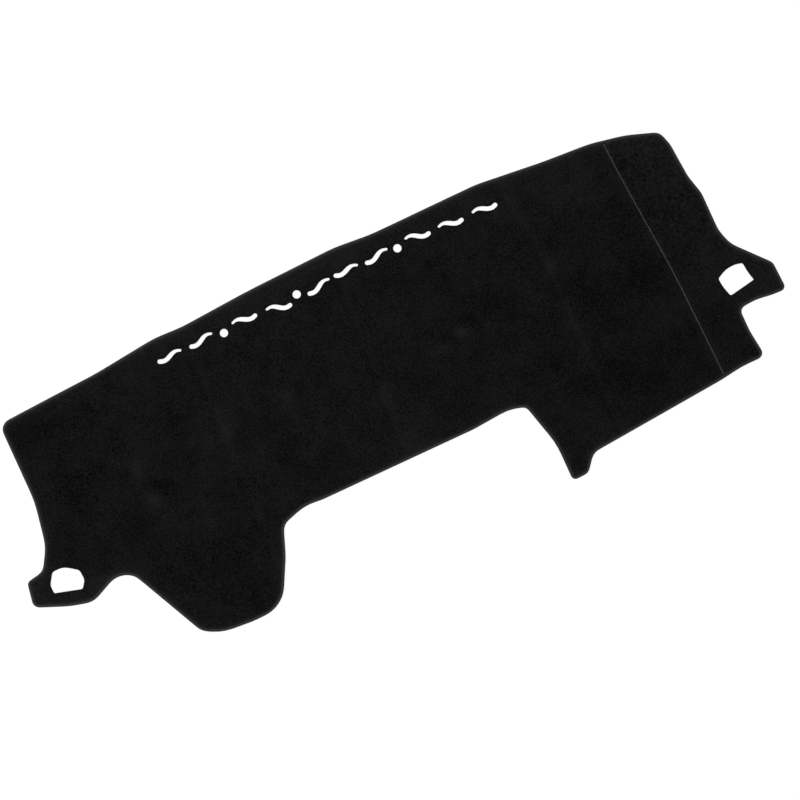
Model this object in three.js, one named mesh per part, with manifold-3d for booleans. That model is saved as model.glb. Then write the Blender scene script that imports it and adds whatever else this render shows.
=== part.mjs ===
// Dashboard cover mat: black pile cloth on a felt backing, cut to the plan of one car's dashboard.
// It is sewn from two panels that meet at a flat seam, and an overlocked thread wraps its whole edge.
// Millimetres. X runs along the dashboard, +Y towards the windscreen, +Z up from the backing.
import * as THREE from 'three';
import { mergeVertices } from 'three/addons/utils/BufferGeometryUtils.js';
import Module from 'manifold-3d';

// Cloth, and the thread that wraps its edge
const CLOTH_THICKNESS = 4.5; // backing and pile together
const EDGE_CLOTH_THICKNESS = 2.5; // the same cloth, squeezed under the edge thread
const THREAD_LAYER = 0.7; // thread lying on each face of the edge
const BINDING_WIDTH = 4.6; // reach of the edge thread onto the cloth
const BINDING_ROUND = 1.2; // rounding of the wrapped edge
const PINCH_RUN = 1.4; // width over which the squeezed edge swells to full thickness
const CLEARANCE = 0.3; // between pieces that touch

// Body: the long strip under the windscreen. Its straight cabin edge is Y = 0, its middle X = 0.
const BODY_LENGTH = 1341;
const LEFT_END_DEPTH = 371.8; // cabin edge to the windscreen corner
const LEFT_END_RADIUS = 20;
const RIGHT_END_DEPTH = 329.3; // cabin edge to the end of the straight right side
const RIGHT_END_TAPER = 5.5; // the right side leans in by this much there
const RIGHT_CORNER_DEPTH = 357.8;
const RIGHT_CORNER_SETBACK = 14.5;
const RIGHT_CORNER_RADIUS = 20;

// Windscreen edge: bends between the two corners, by share of the way from left to right
const WINDSCREEN_BENDS = [
  { share: 0.082, depth: 378.5, radius: 500 },
  { share: 0.149, depth: 383.5, radius: 300 },
  { share: 0.242, depth: 398, radius: 200 },
  { share: 0.282, depth: 396, radius: 200 },
  { share: 0.387, depth: 406, radius: 900 },
  { share: 0.518, depth: 412.5, radius: 250 },
  { share: 0.57, depth: 406.8, radius: 300 },
  { share: 0.731, depth: 409.8, radius: 200 },
  { share: 0.827, depth: 397, radius: 500 },
  { share: 0.895, depth: 391.5, radius: 200 },
  { share: 0.944, depth: 379, radius: 200 },
];

// Left ear: covers the end of the dashboard at the driver's door
const LEFT_EAR_REACH = 82.5; // beyond the end of the body
const LEFT_EAR_HEIGHT = 39.3; // lower corner of its tip above the cabin edge
const LEFT_EAR_TIP = 47; // length of the tip
const LEFT_EAR_TIP_LEAN = 8.5;
const LEFT_EAR_TIP_RADIUS = 8;
const LEFT_EAR_FOOT_RADIUS = 13;
const LEFT_SHOULDER_REACH = 39.5; // the neck's curve ends this far out
const LEFT_SHOULDER_RISE = 6.5; // above the top of the tip
const LEFT_SHOULDER_RADIUS = 22;
const LEFT_THROAT_REACH = 15.5;
const LEFT_THROAT_RISE = 40.5; // above the shoulder
const LEFT_THROAT_RADIUS = 90;
const LEFT_NECK_RISE = 83; // above the throat
const LEFT_NECK_RADIUS = 200;
const LEFT_HEM_REACH = 20.5; // bend in the ear's lower edge
const LEFT_HEM_HEIGHT = 13.8;

// Bay between the left ear and the binnacle lobe
const BAY_START = 22.5; // its foot, from the left end of the body
const BAY_START_HEIGHT = 3.3;
const BAY_START_RADIUS = 40;
const BAY_PEAK = 61; // foot to peak, along the body
const BAY_HEIGHT = 31.8;
const BAY_RADIUS = 44;

// Binnacle lobe: hangs down over the hood of the instruments
const LOBE_START = 28; // peak of the bay to the lobe's left shoulder
const LOBE_SHOULDER_HEIGHT = 15.3;
const LOBE_SHOULDER_RADIUS = 36;
const LOBE_WIDTH = 287.5; // shoulder to shoulder
const LOBE_DEPTH = 150.7; // below the cabin edge
const LOBE_LEFT_SLOPE = 69; // the left side leans in by this much on its way down
const LOBE_LEFT_LIFT = 23; // its lower corner, above the lobe's lowest line
const LOBE_LEFT_RADIUS = 34;
const LOBE_CHIN_SETBACK = 34; // bend after that corner
const LOBE_CHIN_LIFT = 4.5;
const LOBE_CHIN_RADIUS = 100;
const LOBE_RIGHT_SLOPE = 63.5;
const LOBE_RIGHT_LIFT = 1.5;
const LOBE_RIGHT_RADIUS = 62;
const LOBE_KNEE_SETBACK = 20.5; // bend in the right side, in from the right shoulder
const LOBE_KNEE_DROP = 54.5;
const LOBE_KNEE_RADIUS = 90;
const LOBE_SHOULDER_DROP = 12.2; // right shoulder below the cabin edge
const LOBE_SHOULDER_ROUND = 26;

// Where the lobe and the passenger flap run into the straight cabin edge
const LOBE_FILLET_RUN = 52.5;
const LOBE_FILLET_RISE = 3.8;
const CABIN_EDGE_START = 28; // straight edge begins this far past the fillet
const FLAP_FILLET_RUN = 105; // rise towards the flap starts this far before it
const FLAP_FILLET_RISE = 2.3;
const FLAP_CREST_RUN = 27;
const FLAP_CREST_RISE = 8.8;
const CABIN_EDGE_RADIUS = 90;

// Passenger flap: hangs down on the right, with a deeper tab at its inner end
const FLAP_LEFT = 424; // its inner side, in from the right end of the body
const FLAP_DEPTH = 159.7; // at the tab
const FLAP_SHOULDER_SETBACK = 22.5; // the inner side curls this far towards the middle at the top
const FLAP_SHOULDER_DROP = 1.2;
const FLAP_SHOULDER_RADIUS = 12;
const FLAP_SIDE_BEND = 85.7; // depth of the bend in the inner side
const FLAP_SIDE_RADIUS = 150;
const TAB_CORNER_RADIUS = 8;
const TAB_WIDTH = 31.5;
const TAB_LIFT = 1.5; // its outer corner, above its inner one
const TAB_RADIUS = 16;
const TAB_SLOPE = 24; // run of the step from the tab up to the hem
const HEM_DEPTH = 128.2; // hem of the flap beside the tab
const HEM_STEP_RADIUS = 26;
const HEM_BEND = 101.5; // bend in the hem, in from the right end
const HEM_BEND_DEPTH = 104.2;
const HEM_END_BEND = 53.5;
const HEM_END_DEPTH = 97;
const FLAP_CORNER_SETBACK = 7.5; // outer corner of the flap, in from the right end
const FLAP_CORNER_RADIUS = 12;

// Notch between the flap and the right ear
const NOTCH_SETBACK = 14.5; // in from the right end
const NOTCH_BEND = 43.7; // depth of the bend in its side
const NOTCH_TOP = 1.3; // above the cabin edge
const NOTCH_RADIUS = 11;

// Right ear: covers the end of the dashboard at the passenger's door
const RIGHT_EAR_REACH = 79;
const RIGHT_EAR_DROP = 1.2; // lower corner of its tip below the cabin edge
const RIGHT_EAR_TIP = 55;
const RIGHT_EAR_TIP_LEAN = 2.5;
const RIGHT_EAR_TIP_RADIUS = 14;
const RIGHT_EAR_FOOT_RADIUS = 9;
const RIGHT_EAR_HEM_REACH = 18.5; // crown of its lower edge
const RIGHT_EAR_HEM_HEIGHT = 4.3;
const RIGHT_EAR_HEM_END = 50.5;
const RIGHT_EAR_HEM_RADIUS = 90;
const RIGHT_SHOULDER_REACH = 19; // its slanting top meets the body's side this far out
const RIGHT_SHOULDER_RISE = 64.5; // above the top of the tip
const RIGHT_SHOULDER_RADIUS = 60;
const RIGHT_SIDE_REACH = 10; // the body's side stands proud by this much above the ear
const RIGHT_SIDE_START = 150.3; // height where that stretch begins
const RIGHT_SIDE_END = 224.3;
const RIGHT_SIDE_FADE = 38; // over this height it falls back to the end of the body
const RIGHT_SIDE_RADIUS = 50;

// Windows: cut for the side vents of the dashboard. Corners from the window's centre, with radii.
const LEFT_WINDOW_INSET = 76; // centre, in from the tip of the ear
const LEFT_WINDOW_RISE = 20.4; // centre, above the tip's lower corner
const LEFT_WINDOW = [
  [-31, -12, 3], [20.5, -26.5, 5], [30.5, -12.5, 12], [29.5, 7.5, 10], [5, 25, 30], [-18, 25, 9], [-31.5, 4, 14],
];
const RIGHT_WINDOW_INSET = 77.6;
const RIGHT_WINDOW_RISE = 56;
const RIGHT_WINDOW = [
  [-28.5, 13, 4], [-27.5, -2.5, 40], [-21, -25, 4], [30.5, -15.5, 1.5],
  [26.5, -0.5, 60], [24, 20.5, 3], [11, 24, 40], [-9, 23, 40],
];

// Defroster vents: wave-shaped slots with a fat round end and a tapered tail, and round holes
const WAVE_SPAN = 43; // centre of the round end to the end of the tail
const WAVE_LENGTH = 52; // of the sine that the slot follows
const WAVE_HEIGHT = 4.5; // its amplitude
const WAVE_START = -19; // round end, from the slot's centre
const WAVE_SHIFT = 2.6; // middle of the sine, from the slot's centre
const WAVE_LIFT = 0.5;
const WAVE_WIDTH = 8.4; // over the round half
const WAVE_TAIL_WIDTH = 4.8;
const WAVE_STEPS = 8;
const VENT_HOLE = 15.5; // diameter

// The row along the windscreen: place from the middle of the body, drop below the windscreen edge,
// and the turn of each slot. A rising slot lifts towards the right, a falling one is its mirror image.
const VENTS = [
  { kind: 'rising', at: -335.7, drop: 41.5, turn: -2 },
  { kind: 'rising', at: -271.2, drop: 39, turn: 3 },
  { kind: 'hole', at: -225.2, drop: 47 },
  { kind: 'falling', at: -178.9, drop: 43, turn: 0 },
  { kind: 'falling', at: -111.9, drop: 53, turn: -8 },
  { kind: 'hole', at: -74.1, drop: 46 },
  { kind: 'rising', at: -33.1, drop: 52, turn: 7 },
  { kind: 'rising', at: 24.6, drop: 47.5, turn: -4 },
  { kind: 'rising', at: 86.5, drop: 42, turn: 5 },
  { kind: 'hole', at: 129.5, drop: 44 },
  { kind: 'falling', at: 174.5, drop: 39.7, turn: -6 },
  { kind: 'falling', at: 239.5, drop: 44.5, turn: -2 },
  { kind: 'falling', at: 307.3, drop: 46.5, turn: 0 },
];

// Seam between the main panel and the end panel
const SEAM_TOP = 118.5; // where it meets the windscreen edge, in from the right end of the body
const SEAM_TOP_DEPTH = 382;
const SEAM_FOOT = 88.5; // where it meets the hem of the passenger flap
const SEAM_WIDTH = 2.6; // stitches seen on each face
const SEAM_DEPTH = 0.9; // they sink this far into the pile
const SEAM_RISE = 0.3; // and stand this far proud of it
const SEAM_CORE = 0.6; // thread crossing between the two butted edges

const CURVE_TOLERANCE = 0.25; // greatest distance of a facet from the curve it stands for
const MARGIN = 20; // how far a cutting body runs past what it cuts

const wasm = await Module();
wasm.setup();

const corner = (x, y, radius) => ({ point: new THREE.Vector2(x, y), radius });

// Turns corners, listed counterclockwise, into the bends that round them off. A radius shrinks only
// where its neighbour leaves too little straight edge for it.
function bendsOf(corners) {
  const count = corners.length;
  const along = corners.map(({ point }, i) => corners[(i + 1) % count].point.clone().sub(point));
  const turns = corners.map((_, i) => {
    const before = along[(i + count - 1) % count];
    return Math.atan2(before.cross(along[i]), before.dot(along[i]));
  });
  const wanted = corners.map(({ radius }, i) => radius * Math.tan(Math.abs(turns[i]) / 2));
  const room = (i, neighbour, edge) => Math.min(1, edge.length() / (wanted[i] + wanted[neighbour]));
  return corners.map(({ point, radius }, i) => {
    const previous = (i + count - 1) % count;
    const next = (i + 1) % count;
    const fit = Math.min(room(i, previous, along[previous]), room(i, next, along[i]));
    const before = along[previous].clone().normalize();
    const start = point.clone().addScaledVector(before, -wanted[i] * fit);
    const side = Math.sign(turns[i]) || 1;
    const toCentre = new THREE.Vector2(-before.y, before.x).multiplyScalar(side);
    return { centre: start.addScaledVector(toCentre, radius * fit), toCentre, radius: radius * fit, side, turn: turns[i] };
  });
}

// Points of the rounded outline, moved inwards by an inset. Every inset gives the same number of points.
function outlineOf(bends, inset = 0) {
  return bends.flatMap(({ centre, toCentre, radius, side, turn }) => {
    const stepAngle = 2 * Math.acos(1 - Math.min(1, CURVE_TOLERANCE / radius));
    const steps = Math.max(1, Math.ceil(Math.abs(turn) / stepAngle));
    const arm = toCentre.clone().multiplyScalar(-(radius - side * inset));
    return Array.from({ length: steps + 1 }, (_, i) =>
      arm.clone().rotateAround(new THREE.Vector2(), (turn * i) / steps).add(centre));
  });
}

// Skin over a stack of matching rings. A closed stack makes a hoop; an open one gets flat ends.
function skin(rings, closed) {
  const size = rings[0].length;
  const positions = rings.flatMap((ring) => ring.flatMap(({ x, y, z }) => [x, y, z]));
  const faces = [];
  const bands = closed ? rings.length : rings.length - 1;
  for (let band = 0; band < bands; band += 1) {
    const lower = band * size;
    const upper = ((band + 1) % rings.length) * size;
    for (let i = 0; i < size; i += 1) {
      const next = (i + 1) % size;
      faces.push(lower + i, lower + next, upper + next, lower + i, upper + next, upper + i);
    }
  }
  if (!closed) {
    const top = (rings.length - 1) * size;
    for (const [a, b, c] of THREE.ShapeUtils.triangulateShape(rings[0], [])) {
      faces.push(a, c, b, top + a, top + b, top + c);
    }
  }
  const geometry = new THREE.BufferGeometry();
  geometry.setAttribute('position', new THREE.Float32BufferAttribute(positions, 3));
  geometry.setIndex(faces);
  return geometry;
}

function solid(geometry) {
  geometry.deleteAttribute('normal');
  geometry.deleteAttribute('uv');
  const merged = mergeVertices(geometry);
  return new wasm.Manifold(new wasm.Mesh({
    numProp: 3,
    vertProperties: new Float32Array(merged.attributes.position.array),
    triVerts: new Uint32Array(merged.index.array),
  }));
}

// Straight-walled body over an outline, from one height to another
function prism(outline, bottom, top) {
  const geometry = new THREE.ExtrudeGeometry(new THREE.Shape(outline), { depth: top - bottom, bevelEnabled: false });
  return solid(geometry.translate(0, 0, bottom));
}

// Plan of the mat, counterclockwise from the left windscreen corner
const left = -BODY_LENGTH / 2;
const right = BODY_LENGTH / 2;

function leftEar() {
  const tip = left - LEFT_EAR_REACH;
  const tipTop = LEFT_EAR_HEIGHT + LEFT_EAR_TIP;
  const shoulder = tipTop + LEFT_SHOULDER_RISE;
  const throat = shoulder + LEFT_THROAT_RISE;
  return [
    corner(left, throat + LEFT_NECK_RISE, LEFT_NECK_RADIUS),
    corner(left - LEFT_THROAT_REACH, throat, LEFT_THROAT_RADIUS),
    corner(left - LEFT_SHOULDER_REACH, shoulder, LEFT_SHOULDER_RADIUS),
    corner(tip + LEFT_EAR_TIP_LEAN, tipTop, LEFT_EAR_TIP_RADIUS),
    corner(tip, LEFT_EAR_HEIGHT, LEFT_EAR_FOOT_RADIUS),
    corner(left - LEFT_HEM_REACH, LEFT_HEM_HEIGHT, LEFT_NECK_RADIUS),
  ];
}

const bayFoot = left + BAY_START;
const bayPeak = bayFoot + BAY_PEAK;
const bay = () => [
  corner(bayFoot, BAY_START_HEIGHT, BAY_START_RADIUS),
  corner(bayPeak, BAY_HEIGHT, BAY_RADIUS),
];

const lobeLeft = bayPeak + LOBE_START;
const lobeRight = lobeLeft + LOBE_WIDTH;

function binnacleLobe() {
  const foot = lobeLeft + LOBE_LEFT_SLOPE;
  const chin = foot + LOBE_CHIN_SETBACK;
  const rightFoot = lobeRight - LOBE_RIGHT_SLOPE;
  return [
    corner(lobeLeft, LOBE_SHOULDER_HEIGHT, LOBE_SHOULDER_RADIUS),
    corner(foot, LOBE_LEFT_LIFT - LOBE_DEPTH, LOBE_LEFT_RADIUS),
    corner(chin, LOBE_CHIN_LIFT - LOBE_DEPTH, LOBE_CHIN_RADIUS),
    corner((chin + rightFoot) / 2, -LOBE_DEPTH, LOBE_CHIN_RADIUS),
    corner(rightFoot, LOBE_RIGHT_LIFT - LOBE_DEPTH, LOBE_RIGHT_RADIUS),
    corner(lobeRight - LOBE_KNEE_SETBACK, -LOBE_SHOULDER_DROP - LOBE_KNEE_DROP, LOBE_KNEE_RADIUS),
    corner(lobeRight, -LOBE_SHOULDER_DROP, LOBE_SHOULDER_ROUND),
  ];
}

const flapInner = right - FLAP_LEFT;
const flapShoulder = flapInner - FLAP_SHOULDER_SETBACK;

function cabinEdge() {
  const fillet = lobeRight + LOBE_FILLET_RUN;
  return [
    corner(fillet, LOBE_FILLET_RISE, CABIN_EDGE_RADIUS),
    corner(fillet + CABIN_EDGE_START, 0, CABIN_EDGE_RADIUS),
    corner(flapShoulder - FLAP_FILLET_RUN, FLAP_FILLET_RISE, CABIN_EDGE_RADIUS),
    corner(flapShoulder - FLAP_CREST_RUN, FLAP_CREST_RISE, CABIN_EDGE_RADIUS),
  ];
}

function passengerFlap() {
  const tabOuter = flapInner + TAB_WIDTH;
  return [
    corner(flapShoulder, -FLAP_SHOULDER_DROP, FLAP_SHOULDER_RADIUS),
    corner(flapInner, -FLAP_SIDE_BEND, FLAP_SIDE_RADIUS),
    corner(flapInner, -FLAP_DEPTH, TAB_CORNER_RADIUS),
    corner(tabOuter, TAB_LIFT - FLAP_DEPTH, TAB_RADIUS),
    corner(tabOuter + TAB_SLOPE, -HEM_DEPTH, HEM_STEP_RADIUS),
    corner(right - HEM_BEND, -HEM_BEND_DEPTH, LEFT_NECK_RADIUS),
    corner(right - HEM_END_BEND, -HEM_END_DEPTH, LEFT_NECK_RADIUS),
    corner(right - FLAP_CORNER_SETBACK, -HEM_END_DEPTH, FLAP_CORNER_RADIUS),
  ];
}

const notch = () => [
  corner(right - NOTCH_SETBACK, -NOTCH_BEND, FLAP_SIDE_RADIUS),
  corner(right - NOTCH_SETBACK, NOTCH_TOP, NOTCH_RADIUS),
];

function rightEar() {
  const tip = right + RIGHT_EAR_REACH;
  const tipTop = RIGHT_EAR_TIP - RIGHT_EAR_DROP;
  const shoulder = tipTop + RIGHT_SHOULDER_RISE;
  return [
    corner(right + RIGHT_EAR_HEM_REACH, RIGHT_EAR_HEM_HEIGHT, RIGHT_EAR_HEM_RADIUS),
    corner(right + RIGHT_EAR_HEM_END, 0, RIGHT_EAR_HEM_RADIUS),
    corner(tip, -RIGHT_EAR_DROP, RIGHT_EAR_FOOT_RADIUS),
    corner(tip - RIGHT_EAR_TIP_LEAN, tipTop, RIGHT_EAR_TIP_RADIUS),
    corner(right + RIGHT_SHOULDER_REACH, shoulder, RIGHT_SHOULDER_RADIUS),
    corner(right + RIGHT_SIDE_REACH, RIGHT_SIDE_START, RIGHT_SIDE_RADIUS),
    corner(right + RIGHT_SIDE_REACH, RIGHT_SIDE_END, RIGHT_SIDE_RADIUS),
    corner(right, RIGHT_SIDE_END + RIGHT_SIDE_FADE, RIGHT_SIDE_RADIUS),
  ];
}

const windscreenLine = [
  corner(left, LEFT_END_DEPTH, LEFT_END_RADIUS),
  ...WINDSCREEN_BENDS.map(({ share, depth, radius }) => corner(left + share * BODY_LENGTH, depth, radius)),
  corner(right - RIGHT_CORNER_SETBACK, RIGHT_CORNER_DEPTH, RIGHT_CORNER_RADIUS),
];

// Height of the windscreen edge above the cabin edge, at a place along the mat
function windscreenHeight(x) {
  const end = windscreenLine.findIndex(({ point }, i) => i > 0 && point.x >= x);
  const [a, b] = [windscreenLine[end - 1].point, windscreenLine[end].point];
  return THREE.MathUtils.mapLinear(x, a.x, b.x, a.y, b.y);
}

const plan = bendsOf([
  ...leftEar(), ...bay(), ...binnacleLobe(), ...cabinEdge(), ...passengerFlap(), ...notch(), ...rightEar(),
  corner(right - RIGHT_END_TAPER, RIGHT_END_DEPTH, RIGHT_SIDE_RADIUS),
  ...windscreenLine.toReversed(),
]);

// A ring of the plan at each [inset, height] of a section through the edge
const ringsOf = (section) => section.map(([inset, height]) =>
  outlineOf(plan, inset).map(({ x, y }) => new THREE.Vector3(x, y, height)));

const squeezedBottom = THREAD_LAYER + CLEARANCE;
const squeezedTop = squeezedBottom + EDGE_CLOTH_THICKNESS;
const clothEdge = THREAD_LAYER + CLEARANCE;
const squeezeEnd = BINDING_WIDTH + CLEARANCE;

// Cloth in one sheet: full thickness inside, and a thinner tongue all round that the thread wraps
function clothSheet() {
  return solid(skin(ringsOf([
    [squeezeEnd + PINCH_RUN, 0],
    [squeezeEnd, squeezedBottom],
    [clothEdge, squeezedBottom],
    [clothEdge, squeezedTop],
    [squeezeEnd, squeezedTop],
    [squeezeEnd + PINCH_RUN, CLOTH_THICKNESS],
  ]), false));
}

// Overlocked edge: one endless wrap of thread with a C-shaped section, open towards the cloth
function edgeBinding() {
  const height = squeezedTop + CLEARANCE + THREAD_LAYER;
  return solid(skin(ringsOf([
    [BINDING_WIDTH, 0],
    [BINDING_ROUND, 0],
    [0, BINDING_ROUND],
    [0, height - BINDING_ROUND],
    [BINDING_ROUND, height],
    [BINDING_WIDTH, height],
    [BINDING_WIDTH, height - THREAD_LAYER],
    [THREAD_LAYER, height - THREAD_LAYER],
    [THREAD_LAYER, THREAD_LAYER],
    [BINDING_WIDTH, THREAD_LAYER],
  ]), true));
}

const throughCloth = (outline) => prism(outline, -MARGIN, CLOTH_THICKNESS + MARGIN);

function windowCut(corners, x, y) {
  return throughCloth(outlineOf(bendsOf(corners.map(([dx, dy, radius]) => corner(x + dx, y + dy, radius)))));
}

// Plan of a rising slot: both sides of a tapering band that follows a sine, with round ends
function waveOutline() {
  const sides = { lower: [], upper: [] };
  const radiusAt = (t) => THREE.MathUtils.lerp(WAVE_WIDTH, WAVE_TAIL_WIDTH, THREE.MathUtils.smoothstep(t, 0.5, 1)) / 2;
  const phase = (x) => (2 * Math.PI * (x - WAVE_SHIFT)) / WAVE_LENGTH;
  for (let i = 0; i <= WAVE_STEPS; i += 1) {
    const x = WAVE_START + (WAVE_SPAN * i) / WAVE_STEPS;
    const slope = (WAVE_HEIGHT * 2 * Math.PI * Math.cos(phase(x))) / WAVE_LENGTH;
    const middle = new THREE.Vector2(x, WAVE_LIFT + WAVE_HEIGHT * Math.sin(phase(x)));
    const across = new THREE.Vector2(-slope, 1).setLength(radiusAt(i / WAVE_STEPS));
    sides.lower.push(middle.clone().sub(across));
    sides.upper.push(middle.clone().add(across));
  }
  const roundEnd = (from, to) => {
    const middle = from.clone().add(to).divideScalar(2);
    return [1, 2, 3].map((i) => from.clone().rotateAround(middle, (Math.PI * i) / 4));
  };
  const tail = roundEnd(sides.lower.at(-1), sides.upper.at(-1));
  const head = roundEnd(sides.upper[0], sides.lower[0]);
  return [...sides.lower, ...tail, ...sides.upper.toReversed(), ...head];
}

function ventCut({ kind, at, drop, turn }) {
  const place = new THREE.Vector2(at, windscreenHeight(at) - drop);
  if (kind === 'hole') {
    return throughCloth(new THREE.EllipseCurve(place.x, place.y, VENT_HOLE / 2, VENT_HOLE / 2).getPoints(18).slice(0, -1));
  }
  const rising = waveOutline();
  const outline = kind === 'rising' ? rising : rising.map(({ x, y }) => new THREE.Vector2(-x, y)).reverse();
  const angle = THREE.MathUtils.degToRad(turn);
  return throughCloth(outline.map((point) => point.rotateAround(new THREE.Vector2(), angle).add(place)));
}

const openings = [
  windowCut(LEFT_WINDOW, left - LEFT_EAR_REACH + LEFT_WINDOW_INSET, LEFT_EAR_HEIGHT + LEFT_WINDOW_RISE),
  windowCut(RIGHT_WINDOW, right + RIGHT_EAR_REACH - RIGHT_WINDOW_INSET, RIGHT_WINDOW_RISE - RIGHT_EAR_DROP),
  ...VENTS.map(ventCut),
];

// A box that runs along the seam, from one distance across it to another and between two heights
function alongSeam(from, to, bottom, top) {
  const head = new THREE.Vector2(right - SEAM_TOP, SEAM_TOP_DEPTH);
  const foot = new THREE.Vector2(right - SEAM_FOOT, -HEM_BEND_DEPTH);
  const past = head.clone().sub(foot).setLength(BODY_LENGTH);
  const across = new THREE.Vector2(past.y, -past.x).normalize();
  const at = (end, side, distance) => end.clone().addScaledVector(past, side).addScaledVector(across, distance);
  return prism([at(foot, -1, from), at(foot, -1, to), at(head, 1, to), at(head, 1, from)], bottom, top);
}

const halfCore = SEAM_CORE / 2;
const halfSplit = halfCore + CLEARANCE;
const halfSeam = SEAM_WIDTH / 2;

const halfGroove = halfSeam + CLEARANCE;
const grooveDepth = SEAM_DEPTH + CLEARANCE;

// One panel: the cloth from the split in the seam to one end of the mat, with the grooves for the stitches
function panel(cloth, from, to) {
  return cloth.intersect(alongSeam(from, to, -MARGIN, CLOTH_THICKNESS + MARGIN))
    .subtract(alongSeam(-halfGroove, halfGroove, -MARGIN, grooveDepth))
    .subtract(alongSeam(-halfGroove, halfGroove, CLOTH_THICKNESS - grooveDepth, CLOTH_THICKNESS + MARGIN));
}

// Seam thread: a strip of stitches on each face, and the thread that crosses between them
function seamThread() {
  const stitches = alongSeam(-halfSeam, halfSeam, 0, SEAM_DEPTH)
    .add(alongSeam(-halfSeam, halfSeam, CLOTH_THICKNESS - SEAM_DEPTH, CLOTH_THICKNESS + SEAM_RISE))
    .add(alongSeam(-halfCore, halfCore, SEAM_DEPTH / 2, CLOTH_THICKNESS - SEAM_DEPTH / 2));
  return stitches.intersect(throughCloth(outlineOf(plan, squeezeEnd)));
}

const cloth = openings.reduce((sheet, cut) => sheet.subtract(cut), clothSheet());
const wholeReach = 2 * BODY_LENGTH; // past either end of the mat

const pileCloth = new THREE.MeshStandardMaterial({ color: '#141415', roughness: 0.95, metalness: 0 });
const endCloth = new THREE.MeshStandardMaterial({ color: '#161617', roughness: 0.95, metalness: 0 });
const edgeThread = new THREE.MeshStandardMaterial({ color: '#47474a', roughness: 0.8, metalness: 0 });
const paleThread = new THREE.MeshStandardMaterial({ color: '#8e8e90', roughness: 0.8, metalness: 0 });

function piece(name, body, material) {
  const { vertProperties, triVerts } = body.getMesh();
  const geometry = new THREE.BufferGeometry();
  geometry.setAttribute('position', new THREE.BufferAttribute(vertProperties, 3));
  geometry.setIndex(new THREE.BufferAttribute(triVerts, 1));
  const mesh = new THREE.Mesh(geometry, material);
  mesh.name = name;
  return mesh;
}

const mat = new THREE.Group();
mat.add(
  piece('main_panel', panel(cloth, -wholeReach, -halfSplit), pileCloth),
  piece('end_panel', panel(cloth, halfSplit, wholeReach), endCloth),
  piece('edge_binding', edgeBinding(), edgeThread),
  piece('seam_thread', seamThread(), paleThread),
);

// The origin is the middle of the mat's underside
const reach = new THREE.Box3().setFromObject(mat);
mat.position.set(-(reach.min.x + reach.max.x) / 2, -(reach.min.y + reach.max.y) / 2, -reach.min.z);

export default mat;
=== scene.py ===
import math

import bpy
import numpy as np
from mathutils.geometry import delaunay_2d_cdt
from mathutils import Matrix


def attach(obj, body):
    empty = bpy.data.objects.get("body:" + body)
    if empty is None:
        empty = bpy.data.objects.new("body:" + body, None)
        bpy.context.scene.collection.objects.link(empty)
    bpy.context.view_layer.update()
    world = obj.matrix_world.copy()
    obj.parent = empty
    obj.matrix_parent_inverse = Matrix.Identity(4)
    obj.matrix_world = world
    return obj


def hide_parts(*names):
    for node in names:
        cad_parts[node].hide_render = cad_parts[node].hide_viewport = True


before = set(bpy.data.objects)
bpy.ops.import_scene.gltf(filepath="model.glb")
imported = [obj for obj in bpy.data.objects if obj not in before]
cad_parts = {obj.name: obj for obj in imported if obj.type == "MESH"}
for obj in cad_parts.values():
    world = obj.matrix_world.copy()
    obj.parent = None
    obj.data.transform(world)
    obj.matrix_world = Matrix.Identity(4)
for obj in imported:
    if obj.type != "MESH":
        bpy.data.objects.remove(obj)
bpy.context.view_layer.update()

# Camera
# The photograph looks straight down on the mat, which lies turned in the picture. The view is taken from
# far off through a long lens, so the outline shows without perspective.
MM = 0.001
PICTURE_TURN = math.radians(24.5)
PICTURE_WIDTH = 1472 * MM
PICTURE_MIDDLE = (19.3 * MM, -18.9 * MM)
LENS = 85.0
SENSOR = 36.0

camera = bpy.data.objects.new("camera", bpy.data.cameras.new("camera"))
camera.data.lens = LENS
camera.data.sensor_width = SENSOR
camera.data.clip_end = 60.0
camera.location = (*PICTURE_MIDDLE, PICTURE_WIDTH * LENS / SENSOR)
camera.rotation_euler = (0.0, 0.0, -PICTURE_TURN)
bpy.context.scene.collection.objects.link(camera)
bpy.context.scene.camera = camera


# Pile cloth
# Each panel is cut from black cut-pile velour bonded to a felt backing. The pile stands about 2.5 mm; the
# light and shade on its humps and folds are painted into its tone. Near the sewn edge it swells up beside the
# thread.

# The cut outline, the slots, holes and windows are those of the solids, read where a level plane cuts
# them. Lengths from here on are millimetres until a mesh is made.
CLOTH = 4.5  # thickness
CUT_LEVEL = 2.2501  # the plane, half way up
AT_ONCE = 4000  # points tested together, to keep the arrays small


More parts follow.
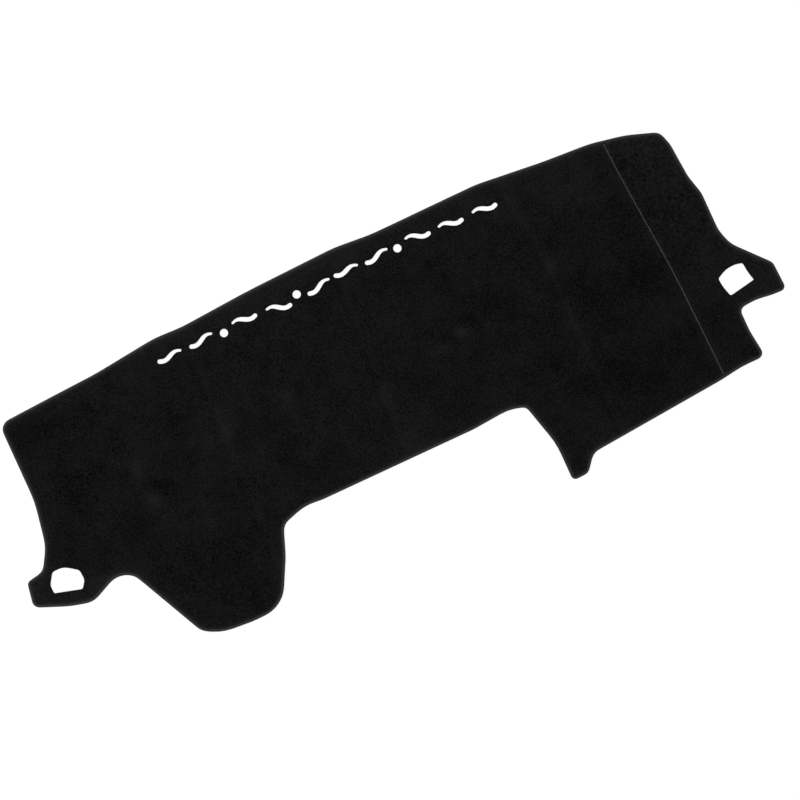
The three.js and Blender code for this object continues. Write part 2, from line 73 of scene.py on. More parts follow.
def outlines(node, level):
    """Closed outlines where a level plane cuts a solid. Each triangle edge that crosses the plane gives
    one point, and each crossed triangle joins the point it enters by to the one it leaves by."""
    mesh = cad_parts[node].data
    places = np.empty(3 * len(mesh.vertices))
    mesh.vertices.foreach_get("co", places)
    corners = np.empty(len(mesh.loops), dtype=int)
    mesh.loops.foreach_get("vertex_index", corners)
    places = places.reshape(-1, 3) / MM
    _, first, merged = np.unique(np.round(places, 3), axis=0, return_index=True, return_inverse=True)
    places = places[first]
    corners = merged.ravel()[corners].reshape(-1, 3)
    above = places[:, 2] > level
    starts, ends = {}, {}
    for a, b in ((0, 1), (1, 2), (2, 0)):
        low, high = corners[:, a], corners[:, b]
        key = np.minimum(low, high) * len(places) + np.maximum(low, high)
        rises = ~above[low] & above[high]
        falls = above[low] & ~above[high]
        starts.update(zip(np.flatnonzero(rises).tolist(), key[rises].tolist()))
        ends.update(zip(np.flatnonzero(falls).tolist(), key[falls].tolist()))
    follows = {starts[triangle]: ends[triangle] for triangle in starts}
    loops = []
    while follows:
        here = next(iter(follows))
        chain = []
        while here in follows:
            chain.append(here)
            here = follows.pop(here)
        pair = np.array(chain)
        a, b = places[pair // len(places)], places[pair % len(places)]
        share = (level - a[:, 2:]) / (b[:, 2:] - a[:, 2:])
        loops.append((a + (b - a) * share)[:, :2])
    return loops


def signed_area(loop):
    """Area inside a closed outline by the shoelace rule, positive when it runs counterclockwise."""
    ahead = np.roll(loop, -1, axis=0)
    return float(np.sum(loop[:, 0] * ahead[:, 1] - ahead[:, 0] * loop[:, 1])) / 2


def counterclockwise(loop):
    """The same outline, run counterclockwise."""
    return loop if signed_area(loop) > 0 else loop[::-1]


def evenly(loop, step):
    """Points along a closed outline about one step apart, with every corner kept."""
    ahead = np.roll(loop, -1, axis=0)
    counts = np.maximum(1, np.round(np.linalg.norm(ahead - loop, axis=1) / step).astype(int))
    which = np.repeat(np.arange(len(loop)), counts)
    share = np.concatenate([np.arange(n) / n for n in counts])[:, None]
    return loop[which] + (ahead - loop)[which] * share


def distance(points, loop):
    """Distance from each point to the nearest edge of a closed outline: the foot of the perpendicular
    on each edge, held between the edge's ends."""
    run = np.roll(loop, -1, axis=0) - loop
    length2 = np.maximum(np.sum(run * run, axis=1), 1e-12)
    nearest = np.empty(len(points))
    for start in range(0, len(points), AT_ONCE):
        part = points[start:start + AT_ONCE, None, :] - loop[None]
        share = np.clip(np.sum(part * run, axis=2) / length2, 0, 1)
        gap = part - share[:, :, None] * run
        nearest[start:start + AT_ONCE] = np.sqrt(np.min(np.sum(gap * gap, axis=2), axis=1))
    return nearest


def inside(points, loops):
    """True where a ray along +X from the point crosses the outlines an odd number of times."""
    a = np.concatenate(loops)
    b = np.concatenate([np.roll(loop, -1, axis=0) for loop in loops])
    odd = np.empty(len(points), dtype=bool)
    for start in range(0, len(points), AT_ONCE):
        x, y = points[start:start + AT_ONCE, :1], points[start:start + AT_ONCE, 1:]
        spans = (a[:, 1] > y) != (b[:, 1] > y)
        rise = np.where(b[:, 1] == a[:, 1], 1.0, b[:, 1] - a[:, 1])
        crossing = a[:, 0] + (y - a[:, 1]) * (b[:, 0] - a[:, 0]) / rise
        odd[start:start + AT_ONCE] = np.count_nonzero(spans & (x < crossing), axis=1) % 2 == 1
    return odd


edge_loops = outlines("edge_binding", CUT_LEVEL)
edge_line = counterclockwise(max(edge_loops, key=lambda loop: abs(signed_area(loop))))

# The solids have the seam straight. The photo bends it a little, and the cloth is cut to that bend.
SEAM_LINE = np.array([(580.8, -230.5), (574.2, -10.0), (560.8, 150.0), (553.7, 255.7)])
SEAM_ROUNDING = 45.0  # length over which its bends are spread


def seam_at(y):
    """Place of the seam along X at each y: its bent line, averaged over three places round each y so that
    the bends come out soft. The seam runs nearly along Y."""
    line_x, line_y = SEAM_LINE.T
    before, here, after = (np.interp(y + off, line_y, line_x) for off in (-SEAM_ROUNDING, 0, SEAM_ROUNDING))
    return (before + 2 * here + after) / 4


def off_seam(x, y):
    """Signed distance from the seam, positive towards the end panel."""
    return x - seam_at(y)


# The mat was folded for packing, in four along its length and with its hanging flaps turned in. The folds
# left low ridges, and where it was pressed it has small humps; their highlights and shade are painted into
# the pile.
FOLDS = ((-305.6, 0.036, 0.0), (-8.0, 0.06, 0.0), (364.0, 0.0, 0.0006))  # place, lean, bow
FOLD_BOW_AT = 60.0  # a fold bows above this
FOLD_HEIGHT = 0.7
FOLD_SPREAD = 6.0
FLAP_FOLD = -122.0
FLAP_FOLD_HEIGHT = 0.5
HUMPS = (  # place, spread along and across, height
    (-474, 64, 13, 17, 1.6), (-468, 0, 12, 15, 1.9), (-340, 54, 14, 17, 1.1), (-296, 57, 12, 14, 1.2),
    (-165, 73, 12, 13, 1.2), (173, 38, 10, 9, 2.2), (120, 35, 14, 8, 1.0), (370, 84, 24, 34, 1.2),
    (300, -40, 60, 45, 0.8), (-560, 150, 60, 50, 0.7), (470, 40, 70, 50, 0.9), (-60, -40, 90, 45, 0.6),
    (-380, -190, 60, 50, 0.9),
)
WAVES = ((210.0, 0.4, 0.45), (330.0, 2.1, 0.5), (145.0, 4.0, 0.25))  # length, phase, half height
WAVES_FADE = 285.0  # full at the windscreen edge, none at the middle of the mat


def bell(offset, spread):
    """Bell curve of height one: e to minus half the square of the offset over the spread."""
    return np.exp(-0.5 * (offset / spread) ** 2)


def off_fold(x, y, fold):
    """Signed distance along X from a fold: a line that leans, and bows as the square of y above its bow."""
    place, lean, bow = fold
    return x - place - lean * y + bow * np.maximum(y - FOLD_BOW_AT, 0.0) ** 2


def lift(x, y):
    """How far the underside stands off the floor: the fold ridges, the humps and, towards the windscreen,
    slow waves along the cloth, all sums of bells and sines that never go below the floor."""
    height = sum(FOLD_HEIGHT * bell(off_fold(x, y, fold), FOLD_SPREAD) for fold in FOLDS)
    height = height + FLAP_FOLD_HEIGHT * bell(y - FLAP_FOLD, FOLD_SPREAD)
    for px, py, along, across, rise in HUMPS:
        height = height + rise * bell(x - px, along) * bell(y - py, across)
    growth = np.clip(y / WAVES_FADE, 0, 1) ** 2
    for length, phase, rise in WAVES:
        height = height + rise * (1 + np.sin(2 * math.pi * x / length + phase)) * growth
    return height


NOISE_TABLE = 997  # random heights, shared out to the cells by sums of their row and column
NOISE_START = 500.0  # keeps the cells' numbers above nought


def value_noise(x, y, cell, seed):
    """Smooth noise from 0 to 1: random heights at the corners of square cells, blended by a cubic."""
    table = np.random.default_rng(seed).random((NOISE_TABLE,))
    u, v = x / cell + NOISE_START, y / cell + NOISE_START
    i, j = np.floor(u).astype(int), np.floor(v).astype(int)
    fu, fv = u - i, v - j
    fu, fv = fu * fu * (3 - 2 * fu), fv * fv * (3 - 2 * fv)

    def at(p, q):
        return table[(p * 131 + q * 57 + (p * q) % 89) % NOISE_TABLE]

    low = at(i, j) * (1 - fu) + at(i + 1, j) * fu
    high = at(i, j + 1) * (1 - fu) + at(i + 1, j + 1) * fu
    return low * (1 - fv) + high * fv


def srgb(code):
    """Linear colour, with full alpha, of an sRGB hex code."""
    values = (int(code[i:i + 2], 16) / 255 for i in (1, 3, 5))
    return (*(v / 12.92 if v <= 0.04045 else ((v + 0.055) / 1.055) ** 2.4 for v in values), 1.0)


def add(tree, kind, inputs=None, **settings):
    """A new node with its settings, and each input given a value or linked to a socket."""
    node = tree.nodes.new(kind)
    for name, value in settings.items():
        setattr(node, name, value)
    for name, value in (inputs or {}).items():
        if isinstance(value, bpy.types.NodeSocket):
            tree.links.new(value, node.inputs[name])
        else:
            node.inputs[name].default_value = value
    return node


def new_material(name):
    """An empty node material, and its tree."""
    material = bpy.data.materials.new(name)
    material.use_nodes = True
    material.node_tree.nodes.clear()
    return material, material.node_tree


TUFT = 2.0  # spacing of the tufts; real ones stand closer, but would not show in the picture
CLUMP = 5.0  # tufts that lean together
RUFFLE = 6.5  # curls of the end panel, whose pile is rougher
TUFT_TONE, CLUMP_TONE, RUFFLE_TONE = 1.06, 0.32, 0.8  # how strongly each varies the tone


def velour():
    """Cut-pile polyester velour, brushed: deep black, soft grain of leaning tufts, faint sheen at a slant."""
    material, tree = new_material("cut_pile_velour")
    place = add(tree, "ShaderNodeTexCoord").outputs["Object"]
    tone_and_painted_light = add(tree, "ShaderNodeAttribute", attribute_name="tone_and_painted_light").outputs["Fac"]
    ruffled = add(tree, "ShaderNodeAttribute", attribute_name="ruffled").outputs["Fac"]
    grain = {}
    for size, detail in ((TUFT, 2.0), (CLUMP, 2.0), (RUFFLE, 3.0)):
        noise = add(tree, "ShaderNodeTexNoise", {
            "Vector": place, "Scale": 1 / (size * MM), "Detail": detail, "Roughness": 0.6})
        grain[size] = noise.outputs["Fac"]
    clumps = add(tree, "ShaderNodeMath", {
        0: grain[CLUMP], 1: CLUMP_TONE, 2: -(CLUMP_TONE + TUFT_TONE) / 2}, operation="MULTIPLY_ADD")
    tufts = add(tree, "ShaderNodeMath", {
        0: grain[TUFT], 1: TUFT_TONE, 2: clumps.outputs[0]}, operation="MULTIPLY_ADD")
    curls = add(tree, "ShaderNodeMath", {
        0: grain[RUFFLE], 1: RUFFLE_TONE, 2: -RUFFLE_TONE / 2}, operation="MULTIPLY_ADD")
    grained = add(tree, "ShaderNodeMath", {
        0: curls.outputs[0], 1: ruffled, 2: tufts.outputs[0]}, operation="MULTIPLY_ADD")
    # the tone given at each point, with its painted highlights and shade, scales the grain
    tone = add(tree, "ShaderNodeMath", {0: grained.outputs[0], 1: tone_and_painted_light})
    colour = add(tree, "ShaderNodeMix", {
        "Factor": tone.outputs[0], "A": srgb("#000000"), "B": srgb("#2b2b2b")}, data_type="RGBA")
    height = add(tree, "ShaderNodeMath", {0: grain[TUFT], 1: 0.5, 2: grain[CLUMP]}, operation="MULTIPLY_ADD")
    bump = add(tree, "ShaderNodeBump", {"Height": height.outputs[0], "Strength": 0.6, "Distance": 0.8 * MM})
    cloth = add(tree, "ShaderNodeBsdfPrincipled", {
        "Base Color": colour.outputs["Result"], "Roughness": 1.0, "Specular IOR Level": 0.06,
        "Sheen Weight": 0.12, "Sheen Roughness": 0.5, "Sheen Tint": srgb("#5c5c5c"),
        "Normal": bump.outputs["Normal"]})
    add(tree, "ShaderNodeOutputMaterial", {"Surface": cloth.outputs["BSDF"]})
    return material


FIBRE = 1.6  # spacing of the felt's fibres, coarser than real ones so that they show


def felt():
    """Needle-punched polyester felt: flat charcoal with short crossing fibres, quite dull."""
    material, tree = new_material("needle_felt")
    place = add(tree, "ShaderNodeTexCoord").outputs["Object"]
    fibres = add(tree, "ShaderNodeTexNoise", {
        "Vector": place, "Scale": 1 / (FIBRE * MM), "Detail": 6.0, "Roughness": 0.75, "Distortion": 1.8})
    colour = add(tree, "ShaderNodeMix", {
        "Factor": fibres.outputs["Fac"], "A": srgb("#18181a"), "B": srgb("#3a3a3d")}, data_type="RGBA")
    bump = add(tree, "ShaderNodeBump", {
        "Height": fibres.outputs["Fac"], "Strength": 0.5, "Distance": 0.4 * MM})
    cloth = add(tree, "ShaderNodeBsdfPrincipled", {
        "Base Color": colour.outputs["Result"], "Roughness": 1.0, "Specular IOR Level": 0.08,
        "Normal": bump.outputs["Normal"]})
    add(tree, "ShaderNodeOutputMaterial", {"Surface": cloth.outputs["BSDF"]})
    return material


pile_finish, felt_finish = velour(), felt()

# Painted highlights and shade on the humps, and other places lighter or darker: place, spread along and
# across, change in grey levels of 255
BRUSHED_AND_PAINTED_LIGHT = (
    (-474, 65, 8, 15, 8), (-468, 0, 9, 11, 8), (-458, 28, 14, 7, -4), (-444, 18, 14, 10, -3),
    (-336, 53, 9, 14, 5), (-296, 58, 13, 12, 6), (-292, 98, 12, 14, 1), (-318, 60, 4, 20, -2),
    (-165, 73, 9, 11, 6), (-208, -16, 16, 40, -3), (-150, 20, 10, 24, -1), (-376, 118, 22, 30, -3),
    (-450, 250, 40, 14, -3), (176, 47, 9, 7, 10), (122, 35, 15, 6, 4), (205, 66, 22, 5, -2),
    (232, 72, 42, 22, -3), (136, -66, 24, 20, -1), (134, 28, 30, 8, 2), (410, 80, 16, 12, 2),
    (352, 175, 16, 16, 2), (280, -78, 26, 18, -4), (369, 84, 12, 10, 5), (388, 100, 24, 8, 3),
    (362, -50, 9, 50, 3), (336, 138, 12, 50, -2), (352, 208, 22, 20, 3), (459, 202, 26, 20, 4),
    (516, 122, 34, 30, -2), (516, 1, 20, 12, -3), (478, -10, 60, 30, -2), (445, -154, 62, 48, -2.6),
    (547, -86, 24, 26, 3), (324, -132, 30, 14, -2), (470, 0, 90, 150, -1), (-623, 201, 45, 22, -5),
    (-655, 222, 28, 16, -3), (-560, 70, 110, 110, -1.2), (-583, 73, 34, 30, -2), (-529, -26, 30, 30, -2),
    (-604, -96, 26, 8, 6), (-735, -66, 16, 26, 5), (-680, -90, 40, 30, 2), (-351, -142, 36, 18, -2),
    (-415, -165, 36, 26, -1.5), (-362, -236, 30, 30, -2), (-452, -74, 34, 30, 1), (8, -90, 30, 40, 3),
    (2, -29, 12, 30, 2), (656, -200, 22, 20, -2), (640, 180, 34, 50, 3), (690, -50, 40, 34, 4),
    (725, -112, 20, 16, 4), (626, -45, 22, 40, 3),
)
LEVEL = 0.0212  # tone that shows as one grey level
BASE_LEVELS = 9.0
PATCHES = ((46.0, 3.0, 3), (17.0, 4.0, 4))  # size, levels, seed
FOLD_SHADE = (-4.0, 3.5, -1.8)  # painted shade line beside the fold: place beside it, spread, levels
# painted highlight band along the fold, in the same columns
FOLD_GLEAM = (5.0, 5.5, 2.2)
FLAP_FOLD_SHADE, FLAP_FOLD_SHADE_SPREAD = 1.0, 5.0
SEAM_GLEAM, SEAM_GLEAM_SPREAD = 3.6, 7.0
WINDSCREEN_GLEAM, WINDSCREEN_GLEAM_FROM, WINDSCREEN_GLEAM_OVER = 2.6, 205.0, 60.0
RIM_GLEAM, RIM_GLEAM_FROM, RIM_GLEAM_FADE = 13.0, 5.0, 2.0  # painted highlight where the thread presses the pile up
# a wider painted highlight fading inwards from the sewn edge
RIM_HALO, RIM_HALO_FADE = 2.8, 16.0


def pile_tone_and_painted_light(x, y, to_edge):
    """Tone of the pile, 0 for black, with painted light: in grey levels a base, painted highlights and shade
    on the humps and other lighter or darker places as bells, patches of noise, a painted shade line and a
    painted highlight band along each fold, and painted highlights by the seam, towards the windscreen and by
    the sewn edge."""
    levels = BASE_LEVELS
    for size, change, seed in PATCHES:
        levels = levels + change * (value_noise(x, y, size, seed) - 0.5)
    for px, py, along, across, change in BRUSHED_AND_PAINTED_LIGHT:
        levels = levels + change * bell(x - px, along) * bell(y - py, across)
    for fold in FOLDS:
        for beside, spread, change in (FOLD_SHADE, FOLD_GLEAM):
            levels = levels + change * bell(off_fold(x, y, fold) - beside, spread)
    levels = levels - FLAP_FOLD_SHADE * bell(y - FLAP_FOLD, FLAP_FOLD_SHADE_SPREAD)
    levels = levels + SEAM_GLEAM * bell(off_seam(x, y), SEAM_GLEAM_SPREAD)
    levels = levels + WINDSCREEN_GLEAM * np.clip((y - WINDSCREEN_GLEAM_FROM) / WINDSCREEN_GLEAM_OVER, 0, 1)
    levels = levels + RIM_GLEAM * np.exp(-np.maximum(to_edge - RIM_GLEAM_FROM, 0) / RIM_GLEAM_FADE)
    levels = levels + RIM_HALO * np.exp(-to_edge / RIM_HALO_FADE)
    return levels * LEVEL


GRID = 4.2  # spacing of the cloth's points
BANDS = (1.6, 3.8, 6.4, 9.2)  # closer rows of points beside every cut and edge
BAND_ROOM = 0.93  # share of its band that a point keeps clear of every cut
RIM_STEP, CUT_STEP = 3.4, 1.8  # spacing of the points on the edge, and on the cuts inside it
MERGE = 1e-5


def fill(loops):
    """Points and triangles that fill a plan between its outlines, the outer one first: the outlines' own
    points, rows at fixed distances beside them, and a staggered grid over the rest."""
    rims = [evenly(loop, RIM_STEP if index == 0 else CUT_STEP) for index, loop in enumerate(loops)]
    low, high = loops[0].min(axis=0), loops[0].max(axis=0)
    columns = np.arange(low[0], high[0], GRID)
    rows = np.arange(low[1], high[1], GRID * math.sqrt(3) / 2)
    grid = np.stack(np.meshgrid(columns, rows), axis=2)
    grid[1::2, :, 0] += GRID / 2
    grid = grid.reshape(-1, 2)
    clear = np.min([distance(grid, loop) for loop in loops], axis=0)
    grid = grid[inside(grid, loops) & (clear > BANDS[-1] + GRID / 2)]
    rows_beside = []
    for rim in rims:
        run = np.roll(rim, -1, axis=0) - np.roll(rim, 1, axis=0)
        across = np.stack([-run[:, 1], run[:, 0]], axis=1) / np.linalg.norm(run, axis=1)[:, None]
        inwards = across if rim is rims[0] else -across
        for step, band in enumerate(BANDS):
            row = (rim + band * inwards)[step % 2::2 if step > 1 else 1]
            room = np.min([distance(row, loop) for loop in loops], axis=0)
            rows_beside.append(row[inside(row, loops) & (room > BAND_ROOM * band)])
    edges, start = [], 0
    for rim in rims:
        index = np.arange(len(rim))
        edges.append(np.stack([start + index, start + np.roll(index, -1)], axis=1))
        start += len(rim)
    plan = np.concatenate([*rims, *rows_beside, grid])
    made = delaunay_2d_cdt(plan.tolist(), np.concatenate(edges).tolist(), [], 0, MERGE)
    points, faces = np.array([tuple(point) for point in made[0]]), np.array(made[2])
    faces = faces[inside(points[faces].mean(axis=1), loops)]
    used, faces = np.unique(faces, return_inverse=True)
    return points[used], faces.reshape(-1, 3)


def wall_between(faces, span):
    """Triangles that join the open edges of a sheet to the same edges of its copy, whose points come span
    later. An edge is open where no neighbour runs it the other way."""
    sides = np.concatenate([faces[:, [0, 1]], faces[:, [1, 2]], faces[:, [2, 0]]])
    forward = sides[:, 0] * span + sides[:, 1]
    backward = sides[:, 1] * span + sides[:, 0]
    a, b = sides[~np.isin(forward, backward)].T
    return np.concatenate([np.column_stack([b, a, a + span]), np.column_stack([b, a + span, b + span])])


TONGUE_TOP, TONGUE_BOTTOM = 3.3, 1.0  # heights of the cloth's rim, pinched in the edge thread
PINCH_FROM, PINCH_OVER = 1.0, 7.0
TONGUE_REACH, TONGUE_SLOPE = 7.0, 2.0
SWELL, SWELL_AT, SWELL_SPREAD = 0.35, 11.0, 4.0  # the pile stands up beside the thread
CUT_ROUND, CUT_FADE = 0.5, 1.1  # pile falls away at a raw cut
SEAM_VALLEY, VALLEY_SPREAD = 1.15, 2.2  # and where the seam draws it down
UNEVEN, UNEVEN_SIZE = 0.22, 9.0
RUFFLE_HEIGHT, RUFFLE_SIZE = 0.5, 13.0
RUFFLE_LEAST, RUFFLE_FROM, RUFFLE_OVER = 0.35, -60.0, 160.0  # rougher towards the windscreen
SEAM_STEP = 12.0
BUTT_REACH = 6.0  # how far a cut edge may move to meet the other at the seam
BUTT_GAP = 0.05


def panel(name, node, side, ruffle):
    """One cloth panel as a closed sheet, on one side of the seam (-1 or 1). The top is the lift plus the
    thickness there, the underside is the lift, and a wall joins them along every outline."""
    loops = [counterclockwise(loop) for loop in outlines(node, CUT_LEVEL)]
    loops.sort(key=lambda loop: -signed_area(loop))
    rim_x, rim_y = evenly(loops[0], SEAM_STEP).T
    at_seam = np.abs(off_seam(rim_x, rim_y)) < BUTT_REACH
    loops[0] = np.column_stack([np.where(at_seam, seam_at(rim_y) + side * BUTT_GAP, rim_x), rim_y])
    points, faces = fill(loops)

    x, y = points[:, 0], points[:, 1]
    to_edge = distance(points, edge_line)
    to_cut = np.min([distance(points, loop) for loop in loops[1:]], axis=0)
    pinch = np.clip((to_edge - PINCH_FROM) / PINCH_OVER, 0, 1)
    pinch = pinch * pinch * (3 - 2 * pinch)
    thick = TONGUE_TOP + (CLOTH - TONGUE_TOP) * pinch + SWELL * bell(to_edge - SWELL_AT, SWELL_SPREAD)
    thick = thick - CUT_ROUND * np.exp(-to_cut / CUT_FADE) - SEAM_VALLEY * bell(off_seam(x, y), VALLEY_SPREAD)
    thick = thick + UNEVEN * (value_noise(x, y, UNEVEN_SIZE, 5) - 0.5) * pinch
    thick = thick + ruffle * RUFFLE_HEIGHT * (value_noise(x, y, RUFFLE_SIZE, 6) - 0.5)
    rest = lift(x, y)
    tongue = np.clip((TONGUE_REACH - to_edge) / TONGUE_SLOPE, 0, 1)
    top = np.column_stack([points, rest + thick])
    bottom = np.column_stack([points, rest + TONGUE_BOTTOM * tongue])

    span = len(points)
    wall = wall_between(faces, span)
    triangles = np.concatenate([faces, faces[:, ::-1] + span, wall])
    counts = [len(faces), len(faces), len(wall)]
    mesh = bpy.data.meshes.new(name)
    mesh.from_pydata((np.concatenate([top, bottom]) * MM).tolist(), [], triangles.tolist())
    mesh.polygons.foreach_set("material_index", np.repeat([0, 1, 0], counts))
    mesh.polygons.foreach_set("use_smooth", np.repeat([True, True, False], counts))
    ruffled = RUFFLE_LEAST + (1 - RUFFLE_LEAST) * np.clip((y - RUFFLE_FROM) / RUFFLE_OVER, 0, 1)
    # each point takes the pile's tone with its painted highlights and shade, and how ruffled it is
    for attribute, values in (("tone_and_painted_light", pile_tone_and_painted_light(x, y, to_edge)), ("ruffled", ruffle * ruffled)):
        data = mesh.attributes.new(attribute, "FLOAT", "POINT").data
        data.foreach_set("value", np.tile(values, 2).astype(np.float32))
    mesh.materials.append(pile_finish)
    mesh.materials.append(felt_finish)
    piece = bpy.data.objects.new(name, mesh)
    bpy.context.scene.collection.objects.link(piece)
    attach(piece, "root")
    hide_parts(node)


panel("main_cloth", "main_panel", -1, 0.0)
panel("end_cloth", "end_panel", 1, 1.0)


# Seam
# The two panels are butted and joined by a flat seam: a close zigzag of pale polyester thread on each
# face, which draws the pile down into a narrow valley.
def spun_thread(name, dark, light, twist):
    """Spun polyester sewing thread: dull, with its plies showing as fine slanting stripes."""
    material, tree = new_material(name)
    place = add(tree, "ShaderNodeTexCoord").outputs["Object"]
    fibres = add(tree, "ShaderNodeTexNoise", {"Vector": place, "Scale": 1 / (twist * MM), "Detail": 3.0})
    colour = add(tree, "ShaderNodeMix", {
        "Factor": fibres.outputs["Fac"], "A": srgb(dark), "B": srgb(light)}, data_type="RGBA")
    bump = add(tree, "ShaderNodeBump", {
        "Height": fibres.outputs["Fac"], "Strength": 0.4, "Distance": 0.15 * MM})
    fibre = add(tree, "ShaderNodeBsdfPrincipled", {
        "Base Color": colour.outputs["Result"], "Roughness": 0.75, "Specular IOR Level": 0.15,
        "Sheen Weight": 0.1, "Sheen Roughness": 0.4, "Normal": bump.outputs["Normal"]})
    add(tree, "ShaderNodeOutputMaterial", {"Surface": fibre.outputs["BSDF"]})
    return material


def tube(path, radius, sides):
    """Points and faces of a round thread along a path: at each point a ring of the radius stands square to
    the path's run, its first arm level and its second arm upright. The two ends are closed by a cap."""
    run = np.gradient(path, axis=0)
    run = run / np.linalg.norm(run, axis=1)[:, None]
    level = np.cross(run, [0.0, 0.0, 1.0])
    level = level / np.linalg.norm(level, axis=1)[:, None]
    upright = np.cross(level, run)
    angles = 2 * math.pi * np.arange(sides) / sides
    arms = np.cos(angles)[None, :, None] * level[:, None] + np.sin(angles)[None, :, None] * upright[:, None]
    rings = path[:, None] + arms * np.reshape(radius, (-1, 1, 1))
    ring = np.arange(sides)
    start = sides * np.arange(len(path) - 1)[:, None]
    after = start + sides
    turned = np.roll(ring, -1)
    quads = np.stack([after + ring, after + turned, start + turned, start + ring], axis=2)
    caps = [ring, (ring + sides * (len(path) - 1))[::-1]]
    return rings.reshape(-1, 3), quads.reshape(-1, 4).tolist() + [cap.tolist() for cap in caps]


def add_piece(name, parts, material, node):
    """One piece from several closed parts, each given as points in millimetres and faces."""
    points, faces, before = [], [], 0
    for part_points, part_faces in parts:
        faces += [[index + before for index in face] for face in part_faces]
        points.append(part_points)
        before += len(part_points)
    mesh = bpy.data.meshes.new(name)
    mesh.from_pydata((np.concatenate(points) * MM).tolist(), [], faces)
    mesh.shade_smooth()
    mesh.materials.append(material)
    piece = bpy.data.objects.new(name, mesh)
    bpy.context.scene.collection.objects.link(piece)
    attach(piece, "root")
    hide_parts(node)


STITCH = 1.2  # advance of one stroke of the zigzag
STITCH_REACH = 1.05
SEAM_THREAD = 0.38  # radius, with the thread's fuzz
SEAM_FOOT, SEAM_HEAD = -223.0, 254.5
THREAD_SIDES = 6


def zigzag(height):
    """Path of the seam's thread on one face: strokes from side to side of the seam line, each a stitch
    further on, at a height above the lifted cloth."""
    y = np.arange(SEAM_FOOT, SEAM_HEAD, STITCH)
    x = seam_at(y) + STITCH_REACH * np.where(np.arange(len(y)) % 2 == 0, 1, -1)
    return np.column_stack([x, y, height + lift(x, y)])


seam_finish = spun_thread("pale_spun_polyester_thread", "#363636", "#828282", 1.4)
seam_parts = [tube(zigzag(height), SEAM_THREAD, THREAD_SIDES)
              for height in (CLOTH - SEAM_VALLEY + SEAM_THREAD, SEAM_THREAD)]
add_piece("seam_stitches", seam_parts, seam_finish, "seam_thread")


# Edge
# The whole edge is overlocked in dark grey polyester: looper threads wrap it stitch by stitch, closing
# the pinched rim of the cloth in, and a needle thread holds them down in a row of stitches inside.
OVERLOCK_PITCH = 2.6
SAMPLES = 3  # points along each stitch
SMOOTHINGS = 12
STITCH_RIDGE = 0.3
STITCH_LEAN = 0.16  # share of a stitch that the wrap slants by for each millimetre inwards
WRAP = np.array([  # outside of the wrap from the underside round to the top: inset, height
    (4.6, 0.45), (3.4, 0.15), (1.6, 0.1), (0.5, 0.6), (0.05, 1.5), (0.05, 2.9), (0.5, 3.8), (1.6, 4.3),
    (3.4, 4.35), (4.6, 3.95)])
WRAP_INSIDE = np.array([(4.3, 3.5), (0.8, 3.4), (0.8, 0.9)])
WRAP_MIDDLE = np.array([2.4, CLOTH / 2])
WRAP_LOWEST = 0.02
NEEDLE_INSET = 4.3
NEEDLE_HEIGHT = 4.15
NEEDLE_THREAD = 0.32  # radius in the middle of a stitch
NEEDLE_DIP = 0.55  # share of it that is left where the thread dives


def along_edge():
    """Evenly spaced points along the edge line, with the direction square to it and inwards. The points
    are smoothed over a few neighbours so that facets of the outline don't show in the stitches."""
    ahead = np.roll(edge_line, -1, axis=0)
    lengths = np.linalg.norm(ahead - edge_line, axis=1)
    way = np.concatenate([[0.0], np.cumsum(lengths)])
    count = SAMPLES * int(way[-1] / OVERLOCK_PITCH)
    closed = np.concatenate([edge_line, edge_line[:1]])
    where = way[-1] * np.arange(count) / count
    points = np.stack([np.interp(where, way, closed[:, axis]) for axis in (0, 1)], axis=1)
    for _ in range(SMOOTHINGS):
        points = (np.roll(points, 1, axis=0) + 2 * points + np.roll(points, -1, axis=0)) / 4
    run = np.roll(points, -1, axis=0) - np.roll(points, 1, axis=0)
    inwards = np.stack([-run[:, 1], run[:, 0]], axis=1) / np.linalg.norm(run, axis=1)[:, None]
    return points, inwards


def overlock():
    """The wrap as one endless skin: the section carried along the edge, its outside standing proud by the
    sine of the way along, one hump to a stitch, slanting across the faces. Its inside follows plainly."""
    points, inwards = along_edge()
    count = len(points)
    section = np.concatenate([WRAP, WRAP_INSIDE])
    outwards = section - WRAP_MIDDLE
    outwards = outwards / np.linalg.norm(outwards, axis=1)[:, None]
    face = np.where(section[:, 1] > WRAP_MIDDLE[1], 1.0, -1.0)
    phase = np.arange(count)[:, None] / SAMPLES + STITCH_LEAN * section[:, 0] * face
    ridge = STITCH_RIDGE * np.abs(np.sin(math.pi * phase))
    ridge[:, len(WRAP):] = 0.0
    inset = section[:, 0] + ridge * outwards[:, 0]
    height = section[:, 1] + ridge * outwards[:, 1]
    flat = points[:, None] + inset[:, :, None] * inwards[:, None]
    rest = lift(points[:, 0], points[:, 1])[:, None]
    places = np.dstack([flat, np.maximum(height + rest, WRAP_LOWEST)]).reshape(-1, 3)
    width = len(section)
    ring = np.arange(width)
    start = width * np.arange(count)[:, None]
    after = width * np.roll(np.arange(count), -1)[:, None]
    turned = np.roll(ring, -1)
    quads = np.stack([start + ring, after + ring, after + turned, start + turned], axis=2)
    return places, quads.reshape(-1, 4).tolist()


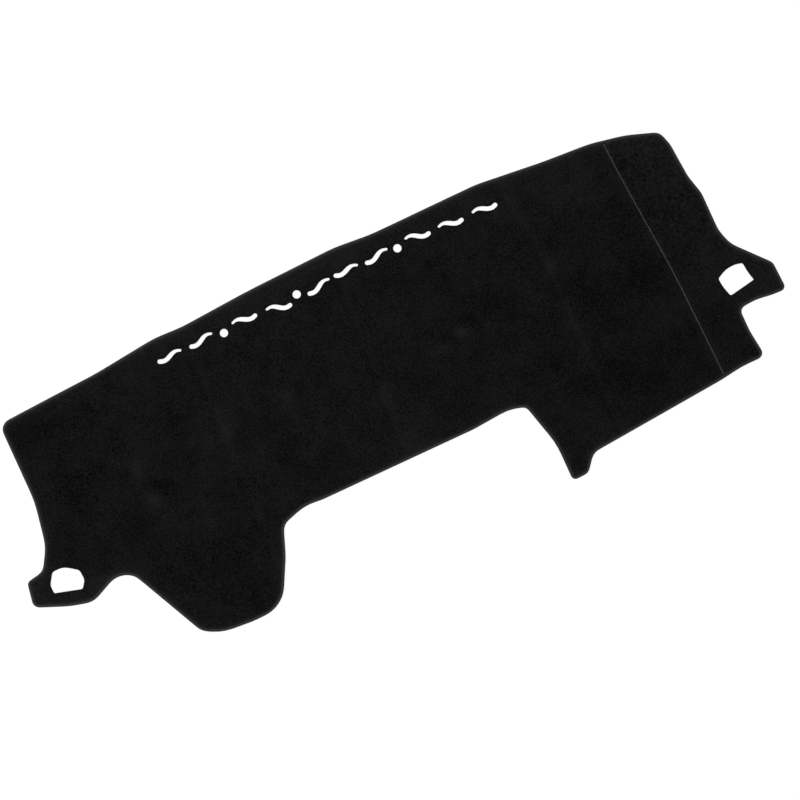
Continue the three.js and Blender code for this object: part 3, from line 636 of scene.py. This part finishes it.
def needle_row():
    """The needle thread as a closed ring: a thread whose radius swells over each stitch and shrinks where
    it dives, carried along the edge at one inset."""
    points, inwards = along_edge()
    flat = points + NEEDLE_INSET * inwards
    path = np.column_stack([flat, NEEDLE_HEIGHT + lift(flat[:, 0], flat[:, 1])])
    swell = np.abs(np.sin(math.pi * np.arange(len(path)) / SAMPLES))
    radius = NEEDLE_THREAD * (NEEDLE_DIP + (1 - NEEDLE_DIP) * swell)
    level = np.column_stack([inwards, np.zeros(len(path))])
    upright = np.array([0.0, 0.0, 1.0])
    arms = [level, upright, -level, -upright]
    places = np.stack([path + radius[:, None] * arm for arm in arms], axis=1).reshape(-1, 3)
    ring = np.arange(len(arms))
    start = len(arms) * np.arange(len(path))[:, None]
    after = len(arms) * np.roll(np.arange(len(path)), -1)[:, None]
    turned = np.roll(ring, -1)
    quads = np.stack([start + ring, start + turned, after + turned, after + ring], axis=2)
    return places, quads.reshape(-1, 4).tolist()


edge_finish = spun_thread("grey_spun_polyester_thread", "#202020", "#303031", 0.7)
add_piece("edge_stitches", [overlock(), needle_row()], edge_finish, "edge_binding")


# Floor and light
# A white studio floor that shows white to the camera and still keeps a little of the mat's shadow, under
# one wide soft lamp overhead and an even white sky.
FLOOR_GAP = 0.3 * MM
FLOOR_REACH = 14.0
SHADOW_SHARE = 0.12

floor_material, floor_tree = new_material("white_floor")
rays = add(floor_tree, "ShaderNodeLightPath").outputs
seen = add(floor_tree, "ShaderNodeMath", {
    0: rays["Is Camera Ray"], 1: rays["Is Glossy Ray"]}, operation="MAXIMUM")
seen = add(floor_tree, "ShaderNodeMath", {
    0: seen.outputs[0], 1: rays["Is Transmission Ray"]}, operation="MAXIMUM")
share = add(floor_tree, "ShaderNodeMath", {0: seen.outputs[0], 1: 1.0 - SHADOW_SHARE}, operation="MULTIPLY")
paint = add(floor_tree, "ShaderNodeBsdfDiffuse", {"Color": (1.0, 1.0, 1.0, 1.0)})
white = add(floor_tree, "ShaderNodeEmission", {"Color": (1.0, 1.0, 1.0, 1.0), "Strength": 1.02})
floor_mix = add(floor_tree, "ShaderNodeMixShader", {
    0: share.outputs[0], 1: paint.outputs[0], 2: white.outputs[0]})
add(floor_tree, "ShaderNodeOutputMaterial", {"Surface": floor_mix.outputs[0]})

floor_mesh = bpy.data.meshes.new("floor")
floor_mesh.from_pydata([(x, y, -FLOOR_GAP) for x, y in (
    (-FLOOR_REACH, -FLOOR_REACH), (FLOOR_REACH, -FLOOR_REACH), (FLOOR_REACH, FLOOR_REACH),
    (-FLOOR_REACH, FLOOR_REACH))], [], [(0, 1, 2, 3)])
floor_mesh.materials.append(floor_material)
floor = bpy.data.objects.new("floor", floor_mesh)
bpy.context.scene.collection.objects.link(floor)

world = bpy.data.worlds.new("studio")
bpy.context.scene.world = world
world.use_nodes = True
sky = world.node_tree
sky.nodes.clear()
to_camera = add(sky, "ShaderNodeLightPath").outputs["Is Camera Ray"]
soft_light = add(sky, "ShaderNodeBackground", {"Color": (1.0, 1.0, 1.0, 1.0), "Strength": 0.55})
backdrop = add(sky, "ShaderNodeBackground", {"Color": (1.0, 1.0, 1.0, 1.0), "Strength": 1.0})
sky_mix = add(sky, "ShaderNodeMixShader", {0: to_camera, 1: soft_light.outputs[0], 2: backdrop.outputs[0]})
add(sky, "ShaderNodeOutputWorld", {"Surface": sky_mix.outputs[0]})

lamp = bpy.data.objects.new("overhead_softbox", bpy.data.lights.new("overhead_softbox", "AREA"))
lamp.data.shape = "RECTANGLE"
lamp.data.size = 3.2
lamp.data.size_y = 2.4
lamp.data.energy = 125.0
lamp.location = (-1.6, 1.6, 3.6)
lamp.rotation_euler = (math.radians(-21.5), math.radians(-23.0), 0.0)
bpy.context.scene.collection.objects.link(lamp)

bpy.context.scene.view_settings.view_transform = "Standard"
